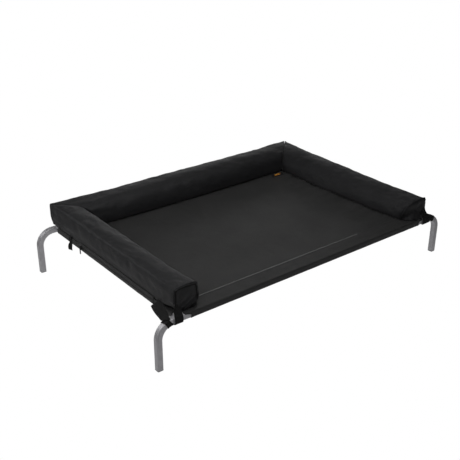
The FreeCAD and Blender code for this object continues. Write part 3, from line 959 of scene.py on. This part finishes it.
def ribbon(name, centres, sides, count, crown=0.4 * MM, columns=7, wave=0.6 * MM):
    """A webbing strap along a smooth line, with a half-width vector given at each point."""
    middle = curve_through(centres, count)
    knots = np.linspace(0, 1, len(sides))
    table = np.array([tuple(side) for side in sides])
    points = []
    for r, centre in enumerate(middle):
        half = sampled(r / (count - 1), knots, table)
        ahead = middle[min(r + 1, count - 1)] - middle[max(r - 1, 0)]
        normal = ahead.cross(half).normalized()
        for across in np.linspace(-1, 1, columns):
            bend = crown * (1 - across * across) + wave * wobble(centre + half * across, 45, 2.0)
            points.append(centre + half * across + normal * bend)
    return smooth_edges(thicken(mesh_object(name, points, grid_faces(count, columns)), WEBBING))


def from_right(points, sign):
    """Points given in millimetres for the right-hand side, in metres; sign 1 mirrors them to the left."""
    return [Vector((-sign * x, y, z)) * MM for x, y, z in points]


def loop_round_bend(sign, lean):
    """Webbing loop round the start of a front leg's bend, its top leaning outwards by some degrees."""
    half = TUBE / 2 + 1.3 * MM
    corner = 4 * MM
    ring = []
    for quarter in range(4):
        base = quarter * math.pi / 2
        cx = math.copysign(half - corner, math.cos(base + math.pi / 4))
        cz = math.copysign(half - corner, math.sin(base + math.pi / 4))
        for t in np.linspace(0, 1, 5):
            angle = base + t * math.pi / 2
            ring.append((cx + corner * math.cos(angle), cz + corner * math.sin(angle)))
    stations = 12
    points = []
    for station in range(stations):
        for across, up in ring:
            first = math.radians(0.8 + lean * ramp_up(up, -half, half))
            last = math.radians(30 + 3 * ramp_up(across, -half, half))
            angle = first + (last - first) * station / (stations - 1)
            slack = 1 + 0.04 * wobble((station * 0.02, across, up), 60, 1.0)
            radius = BEND_R + up * slack
            x = BEND_X + radius * math.sin(angle)
            z = RAIL_Z - BEND_R + radius * math.cos(angle)
            points.append((-sign * x, -RAIL_Y + across * slack, z))
    obj = mesh_object("loop", points, grid_faces(stations, len(ring), ring=True))
    return smooth_edges(thicken(obj, WEBBING))


def outer_front_strap(side):
    """Wide strap from the bolster's lower outer edge forward and out to a loop on the leg's bend."""
    sign = 1 if side == "left" else -1
    centres = [(583.0, -291.5, 166.2), (589.5, -313, 167.4), (596.5, -338, 167.5), (603.5, -363, 166.5),
               (608.5, -382, 165.0), (610.5, -391.5, 164.0)]
    halves = [(-9.2, -11.5, 13), (-11, -12, 12), (-12, -12.5, 10.5), (-12, -12.5, 8), (-11, -12, 5),
              (-10, -11.2, 3.6)]
    if side == "right":
        centres = [(x, y, z - 6) for x, y, z in centres]
        halves = [(x, y, z * 0.5) for x, y, z in halves]
    arm = ribbon("arm", from_right(centres, sign), from_right(halves, sign), 44, crown=0.8 * MM)
    tab_line = from_right([(574.3, -302, 178.5), (574.8, -302, 175), (577, -301, 170)], sign)
    tab = ribbon("tab", tab_line, [Vector((0, 9 * MM, 0))] * 3, 10, wave=0.2 * MM)
    loop = loop_round_bend(sign, 12 if side == "left" else 1)
    obj = joined(f"strap_outer_front_{side}", [arm, tab, loop])
    return settle(obj, "webbing", [f"strap_outer_front_{side}"])


def inner_front_strap(side):
    """Strap from the seam of the bolster's end, down over the front rail and back under it."""
    sign = 1 if side == "left" else -1
    # along the strap: x, half width, distance out from the bolster's end, and z
    top = [(570.0, 4.0, 1.2, 203), (570.2, 7.5, 4.0, 190), (571.0, 12.5, 11.0, 177)]
    below = [(571.8, 15.0, 18.2, 167), (572.0, 15.4, 20.3, 155), (572.3, 15.2, 19.0, 144.8),
             (573.0, 15.0, 12.0, 142.6), (573.0, 14.0, 1.5, 142.9)]
    if side == "right":
        top = [(567.0, 4.0, 1.2, 203), (564.0, 9.0, 4.0, 190), (561.5, 15.5, 11.0, 177)]
        below = [(x - 6, half + 5.5, out, z) for x, half, out, z in below]
    centres = [(x, BOLSTER_FRONT / MM - out, z) for x, _, out, z in top + below]
    halves = [(half, 0, 0) for _, half, _, _ in top + below]
    obj = ribbon(f"strap_inner_front_{side}", from_right(centres, sign), from_right(halves, sign), 60)
    return settle(obj, "webbing", [f"strap_inner_front_{side}"])


def back_strap(side):
    """Narrow strap round the side rail's sleeve, its free tail hanging below."""
    sign = 1 if side == "left" else -1
    low, high = corners(f"strap_back_{side}")
    y = (low.y + high.y) / 2
    half = Vector((0, (high.y - low.y) / 2, 0))
    outer = max(abs(low.x), abs(high.x)) - 0.7 * MM
    inner = min(abs(low.x), abs(high.x))
    under = RAIL_Z - TUBE / 2 - 2.6 * MM
    # (x out from the outer face and y off the middle, both in millimetres, and z in metres)
    round_rail = [(-1.5, 0, BOLSTER_BASE + 7 * MM), (0, 0, RAIL_Z + 6 * MM), (0, 0, RAIL_Z - 5 * MM),
                  (-5, 0, under), (-20, 0, under - 0.4 * MM), ((inner - outer) / MM + 2, 0, under + 1 * MM)]
    tail = [(-2, 0, RAIL_Z - 8 * MM), (1.2, 1, RAIL_Z - 18 * MM), (2.5, 2, RAIL_Z - 29 * MM),
            (1.5, 2, low.z + 1 * MM)]
    twisted = Vector((half.y * 0.34, half.y * 0.94, 0))
    pieces = []
    for points, name, turned in ((round_rail, "round", half), (tail, "tail", twisted)):
        line = [Vector((-sign * (outer + dx * MM), y + dy * MM, z)) for dx, dy, z in points]
        widths = [half] + [Vector((-sign * turned.x, turned.y, 0))] * (len(line) - 1)
        pieces.append(ribbon(name, line, widths, 26, columns=5, wave=0.3 * MM))
    obj = joined(f"strap_back_{side}", pieces)
    return settle(obj, "webbing", [f"strap_back_{side}"])


# one zip tooth in millimetres: (place along the zip, share of its height), and its outline (z, out)
TOOTH_RINGS = ((0.0, 0.7), (0.6, 1.0), (1.5, 1.0), (2.1, 0.7))
TOOTH_OUTLINE = ((-0.5, 0.8), (-0.5, 2.0), (0.2, 2.6), (1.0, 2.3), (1.4, 0.8))


def zip_chain(side):
    """Zip: woven tape under two interlocked rows of teeth; a side tape's upper hem tucks inwards."""
    node = f"zip_{side}"
    low, high = corners(node)
    along_x = side == "back"
    start, end = (low.x, high.x) if along_x else (low.y, high.y)
    face = low.y if along_x else min(abs(low.x), abs(high.x))
    sign = -1 if side == "left" else 1
    middle = (low.z + high.z) / 2
    half = (high.z - low.z) / 2
    hem = 0.0 if along_x else 3 * MM

    def place(s, out, z):
        return (s, face + out, z) if along_x else (sign * (face + out), s, z)

    count = 120
    points = []
    for s in np.linspace(start, end, count):
        for z in np.linspace(-half, half + hem, 9):
            ripple = 0.15 * MM * wobble((s, z, 0), 60, 3.0)
            tucked = 1.8 * MM * ramp_up(z, half, half + hem) if hem else 0.0
            points.append(place(s, 0.45 * MM + ripple - tucked, middle + z))
    tape = thicken(mesh_object("tape", points, grid_faces(count, 9)), 0.7 * MM)
    pitch = 2.4 * MM
    inset = 5 * MM
    verts, faces = [], []
    for number in range(int((end - start - 2 * inset) / pitch)):
        s = start + inset + number * pitch
        row = 1 if number % 2 else -1
        faces += capped_tube(len(verts), len(TOOTH_RINGS), len(TOOTH_OUTLINE))
        for ds, profile in TOOTH_RINGS:
            for z, out in TOOTH_OUTLINE:
                verts.append(place(s + ds * MM, out * profile * MM, middle + row * (0.4 + z * 1.2) * MM))
    obj = joined(f"zip_chain_{side}", [tape, mesh_object("teeth", verts, faces)])
    return settle(obj, "zip_tape", [node])


def sewn_label():
    """Plain black label at the back right corner, with a stitched orange bar and no lettering."""
    low, high = corners("label")
    middle = (low + high) / 2
    half = (high - low) / 2

    def on_label(u, v, above):
        lift = ramp_up(v, -1, 1) * 5 * MM + 0.5 * MM * wobble((u, v, 0), 1.5, 2.0)
        return Vector((middle.x + u * half.x, middle.y + v * half.y, high.z + above + lift))

    columns, rows = 24, 8
    points = [on_label(u, v, 0.5 * MM) for v in np.linspace(-1, 1, rows) for u in np.linspace(-1, 1, columns)]
    obj = smooth_edges(thicken(mesh_object("label_tag", points, grid_faces(rows, columns)), 0.5 * MM))
    settle(obj, "label_cloth", ["label"])
    bar = []
    for v in (-0.25, 0.0, 0.25):
        path = [on_label(u, v, 1.0 * MM) for u in np.linspace(-0.55, 0.55, 16)]
        bar.append(stitches("bar", path, 2.4 * MM, 2.3 * MM, 1.1 * MM, ORANGE_THREAD, "label_cloth"))
    return settle(joined("label_stripe", bar), "label_cloth", material=ORANGE_THREAD)


# ---------------- stage

def photo_camera():
    """The camera solved from the photo's straight edges and the bed's four feet."""
    place = Vector((-1.6551, -2.0136, 1.3858))
    yaw, pitch, roll = math.radians(51.4925), math.radians(25.744), math.radians(0.283)
    forward = Vector((math.cos(yaw) * math.cos(pitch), math.sin(yaw) * math.cos(pitch), -math.sin(pitch)))
    data = bpy.data.cameras.new("camera")
    data.lens, data.sensor_width, data.shift_x = 60.21, 36, -0.0042
    data.clip_end = 200
    camera = in_scene("camera", data)
    level = forward.cross(UP).normalized()
    right = level * math.cos(roll) + level.cross(forward) * math.sin(roll)
    turn = Matrix((right, right.cross(forward), -forward)).transposed()
    camera.matrix_world = Matrix.Translation(place) @ turn.to_4x4()
    bpy.context.scene.camera = camera


# name, place, target, width, height, watts
LIGHTS = (
    ("overhead", (0, 0, 2.2), (0, 0, 0.15), 1.5, 1.5, 8.6),
    ("back_left", (-1.35, 1.15, 1.0), (-0.57, 0, 0.2), 0.8, 0.8, 3.4),
    ("left", (-1.45, 0.1, 0.95), (-0.5, 0, 0.15), 0.8, 0.6, 1.0),
    ("low_left", (-2.3, 0.5, 0.45), (-0.57, 0, 0.15), 1.3, 0.8, 0.9),
    ("near_front_left", (-0.9, -0.8, 1.4), (-0.3, -0.2, 0.15), 0.8, 0.8, 4.3),
    ("front_left", (-1.6, -1.3, 1.9), (-0.1, 0, 0.15), 1.2, 1.2, 1.6),
    ("low_behind", (1.9, 2.4, 0.75), (0, 0, 0.15), 2.6, 0.9, 6.0),
    ("floor_bounce", (0, 0, -0.3), (0, 0, 1), 3.0, 2.6, 8.0),
)
# radius and height of each ring of the sweep
SWEEP_RINGS = ((0.0, -0.002), (6.0, -0.002), (14.0, -0.002), (18.0, 1.0), (20.0, 5.0), (18.0, 12.0),
               (8.0, 18.0))


def soft_light(name, place, target, width, height, power):
    data = bpy.data.lights.new(name, "AREA")
    data.shape, data.size, data.size_y = "RECTANGLE", width, height
    data.energy = power
    light = in_scene(name, data)
    light.location = place
    light.rotation_euler = (Vector(target) - Vector(place)).to_track_quat("-Z", "Y").to_euler()


def white_sweep():
    """White sweep, seen by the camera only, so that the object keeps its own soft shading."""
    paper = bpy.data.materials.new("white_sweep")
    paper.use_nodes = True
    tree = paper.node_tree
    tree.nodes.clear()
    glow = tree.nodes.new("ShaderNodeEmission")
    glow.inputs["Strength"].default_value = 1.0
    tree.links.new(glow.outputs[0], tree.nodes.new("ShaderNodeOutputMaterial").inputs[0])
    around = 64
    points = []
    for radius, z in SWEEP_RINGS:
        points += circle(Vector((0, 0, z)), Vector((1, 0, 0)), Vector((0, 1, 0)), radius, around)
    sweep = mesh_object("sweep", points, grid_faces(len(SWEEP_RINGS), around, ring=True))
    sweep.data.materials.append(paper)
    sweep.visible_diffuse = False
    sweep.visible_glossy = False
    sweep.visible_shadow = False


def studio():
    """Sweep, faint white world light and soft area lights."""
    white_sweep()
    world = bpy.data.worlds.new("studio")
    bpy.context.scene.world = world
    world.use_nodes = True
    sky = world.node_tree.nodes["Background"]
    sky.inputs["Color"].default_value = (1, 1, 1, 1)
    sky.inputs["Strength"].default_value = 0.035
    for light in LIGHTS:
        soft_light(*light)


def dress_frame():
    """Give every CAD node that stays its own finished material."""
    for entry in frame["record"]["subparts"]:
        obj = bpy.data.objects.get(entry["node"])
        if obj is not None:
            obj.data.materials.clear()
            obj.data.materials.append(MATERIALS[entry["material_slot"]])


dress_frame()
for side_name in ("left", "back", "right"):
    bolster_cover(side_name)
    bolster_filling(side_name)
    zip_chain(side_name)
sling_panel()
for side_name in ("front", "back", "left", "right"):
    sleeve(side_name, f"sling_sleeve_{side_name}")
sling_stitching()
for side_name in ("left", "right"):
    outer_front_strap(side_name)
    inner_front_strap(side_name)
    back_strap(side_name)
sewn_label()

bpy.context.scene.view_settings.view_transform = "Standard"
studio()
photo_camera()
